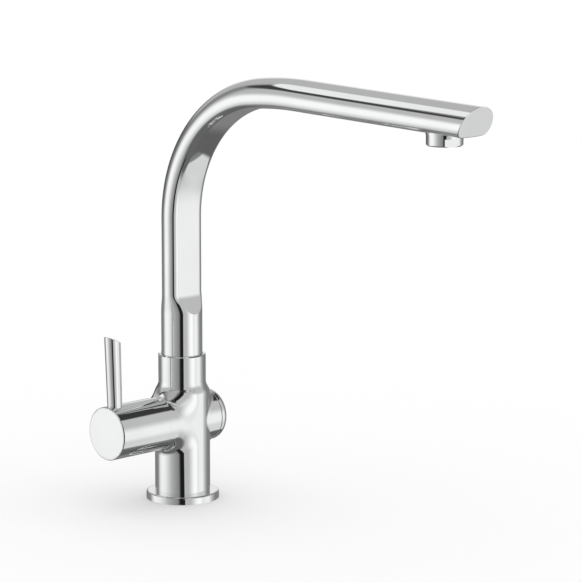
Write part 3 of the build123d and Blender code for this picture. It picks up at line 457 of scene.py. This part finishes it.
def blend_ring(phi):
    """Closed outline across the blend, at an angle round the barrel."""
    side = math.sin(phi) ** 2
    width = BLEND_TOP + (BLEND_SIDE - BLEND_TOP) * side
    y, z = BARREL_R * math.sin(phi), BARREL_Z + BARREL_R * math.cos(phi)
    turn = math.asin(y / column_radius(z))
    crease = on_column(turn, z)
    start = crease - Vector((width, 0, 0))
    round_share, rise_share = math.sin(phi) * math.sin(turn), math.cos(phi)
    size = math.hypot(round_share, rise_share)
    sign = 1 if y >= 0 else -1

    def away(distance, sink=0.0):
        """Point on the column, this far from the crease."""
        round_turn = sign * abs(round_share / size) * distance / COLUMN_R
        return on_column(turn + round_turn, z + rise_share / size * distance, sink)

    end = away(width)
    heading = (away(width + 0.05) - away(width - 0.05)).normalized()
    handle = width * BLEND_LEAN
    p = (start, start + Vector((handle, 0, 0)), end - heading * handle, end)
    points = []
    for i in range(BLEND_STEPS + 1):
        t = i / BLEND_STEPS
        s = 1 - t
        points.append(p[0] * s ** 3 + p[1] * (3 * s * s * t) + p[2] * (3 * s * t * t) + p[3] * t ** 3)
    inward = Vector((0, -math.sin(phi), -math.cos(phi))) * BLEND_SINK
    points += [away(width, BLEND_SINK), on_column(turn, z, 2 * BLEND_SINK) + inward, start + inward]
    return [tuple(point * MM) for point in points]


def make_blend():
    rings = [blend_ring(2 * math.pi * i / BLEND_RINGS) for i in range(BLEND_RINGS)]
    declare(ring_mesh("casting_blend", rings), "body", 40)


make_blend()


# ---- Stage and light ---------------------------------------------------------
def make_floor():
    bpy.ops.mesh.primitive_circle_add(vertices=96, radius=3.0, fill_type="NGON")
    floor = bpy.context.object
    floor.name = "floor"
    mat = bpy.data.materials.new("floor")
    mat.use_nodes = True
    tree = mat.node_tree
    tree.nodes.clear()
    out = tree.nodes.new("ShaderNodeOutputMaterial")
    paint = tree.nodes.new("ShaderNodeBsdfDiffuse")
    paint.inputs["Color"].default_value = (1.0, 1.0, 1.0, 1)
    tree.links.new(paint.outputs[0], out.inputs[0])
    floor.data.materials.append(mat)
    floor.visible_glossy = False


make_floor()

# The studio round the tap, as its chrome sees it. Azimuth 0 is the side the picture is taken
# from and positive is to the right of it; azimuths and elevations are in degrees. A panel is
# (name; azimuths where it starts, is full, is still full and ends; the same four elevations;
# level), and each lies over the ones before it.
STUDIO_R = 6.0
ROOM_LEVEL = 0.22
PANELS = (
    ("backdrop, left", (-182, -181, -150, -128), (-2, 5, 60, 80), 0.47),
    ("backdrop, right", (150, 166, 181, 182), (-2, 5, 60, 80), 0.47),
    ("backdrop, low left", (-182, -181, -174, -162), (-1, 5, 14, 21), 0.82),
    ("backdrop, low right", (162, 174, 181, 182), (-1, 5, 14, 21), 0.82),
    ("dark corner, left", (-177, -169, -140, -126), (-9, -4, 7, 14), 0.11),
    ("left wall", (-128, -106, -62, -2), (-43, -34, 36, 41), 0.50),
    ("front wall", (4, 12, 60, 80), (-46, -38, 38, 44), 0.50),
    ("right wall", (60, 76, 104, 130), (-46, -42, 41, 44), 0.52),
    ("right reflector", (90, 100, 121, 126), (-45, -44, -34, -24), 0.68),
    ("right window", (66, 80, 93, 110), (-42, -14, -1, 24), 0.90),
    ("right soft box", (24, 56, 59, 84), (-40, -18, 2, 34), 1.03),
    ("left soft box", (-120, -96, -86, -40), (-46, -2, 8, 27), 1.0),
    ("left rail", (-138, -131, -98, -90), (36, 40, 43.8, 45), 0.05),
    ("ceiling box", (-150, -143, -112, -106), (44.3, 45.6, 60, 70), 0.87),
    ("ceiling, left", (-100, -60, -26, -6), (38, 46, 80, 90), 0.42),
    ("ceiling, front", (14, 30, 66, 84), (39, 43, 80, 90), 0.55),
    ("ceiling flag, front", (-16, -4, 12, 30), (38, 43, 60, 70), 0.04),
    ("ceiling flag, right", (62, 96, 142, 158), (40, 44, 70, 80), 0.04),
    ("table", (-182, -181, 181, 182), (-91, -90, -48, -46.5), 0.13),
    ("dark corner, right", (119, 124, 146, 164), (-60, -56, -32, -20), 0.12),
    ("slot flag", (-15, -4, 8.5, 11.5), (-60, -50, 44, 50), 0.012),
)


def math_node(tree, operation, *values):
    node = tree.nodes.new("ShaderNodeMath")
    node.operation = operation
    for i, value in enumerate(values):
        if isinstance(value, (int, float)):
            node.inputs[i].default_value = value
        else:
            tree.links.new(value, node.inputs[i])
    return node.outputs[0]


def smooth(tree, value, low, high):
    node = tree.nodes.new("ShaderNodeMapRange")
    node.interpolation_type = "SMOOTHSTEP"
    node.inputs["From Min"].default_value = low
    node.inputs["From Max"].default_value = high
    tree.links.new(value, node.inputs["Value"])
    return node.outputs[0]


def window(tree, value, edges):
    """1 between the middle two edges, 0 outside the outer two."""
    rise = smooth(tree, value, edges[0], edges[1])
    fall = smooth(tree, value, edges[2], edges[3])
    return math_node(tree, "MULTIPLY", rise, math_node(tree, "SUBTRACT", 1.0, fall))


def make_studio():
    """The studio's walls stand round the tap and out of the picture: soft boxes and dark flags."""
    bpy.ops.mesh.primitive_uv_sphere_add(segments=96, ring_count=48, radius=STUDIO_R)
    walls = bpy.context.object
    walls.name = "studio_walls"
    walls.visible_camera = False
    walls.visible_diffuse = False
    walls.visible_shadow = False
    mat = bpy.data.materials.new("studio_walls")
    mat.use_nodes = True
    mat.cycles.emission_sampling = "NONE"
    tree = mat.node_tree
    tree.nodes.clear()
    out = tree.nodes.new("ShaderNodeOutputMaterial")
    light = tree.nodes.new("ShaderNodeEmission")
    tree.links.new(light.outputs[0], out.inputs[0])
    walls.data.materials.append(mat)
    coord = tree.nodes.new("ShaderNodeTexCoord")

    def along(direction):
        node = tree.nodes.new("ShaderNodeVectorMath")
        node.operation = "DOT_PRODUCT"
        node.inputs[1].default_value = direction / STUDIO_R
        tree.links.new(coord.outputs["Object"], node.inputs[0])
        return node.outputs["Value"]

    degrees = 180 / math.pi
    turn = math_node(tree, "MULTIPLY", math_node(tree, "ARCTAN2", along(RIGHT), along(-AHEAD)), degrees)
    lift = math_node(tree, "MULTIPLY", math_node(tree, "ARCSINE", along(Vector((0, 0, 1)))), degrees)
    level = ROOM_LEVEL
    for _, azimuths, elevations, panel_level in PANELS:
        cover = math_node(tree, "MULTIPLY", window(tree, turn, azimuths), window(tree, lift, elevations))
        step = math_node(tree, "SUBTRACT", panel_level, level)
        level = math_node(tree, "MULTIPLY_ADD", cover, step, level)
    tree.links.new(level, light.inputs["Strength"])


def make_world():
    world = bpy.data.worlds.new("white")
    world.use_nodes = True
    world.node_tree.nodes["Background"].inputs["Color"].default_value = (1, 1, 1, 1)
    scene.world = world


make_studio()
make_world()
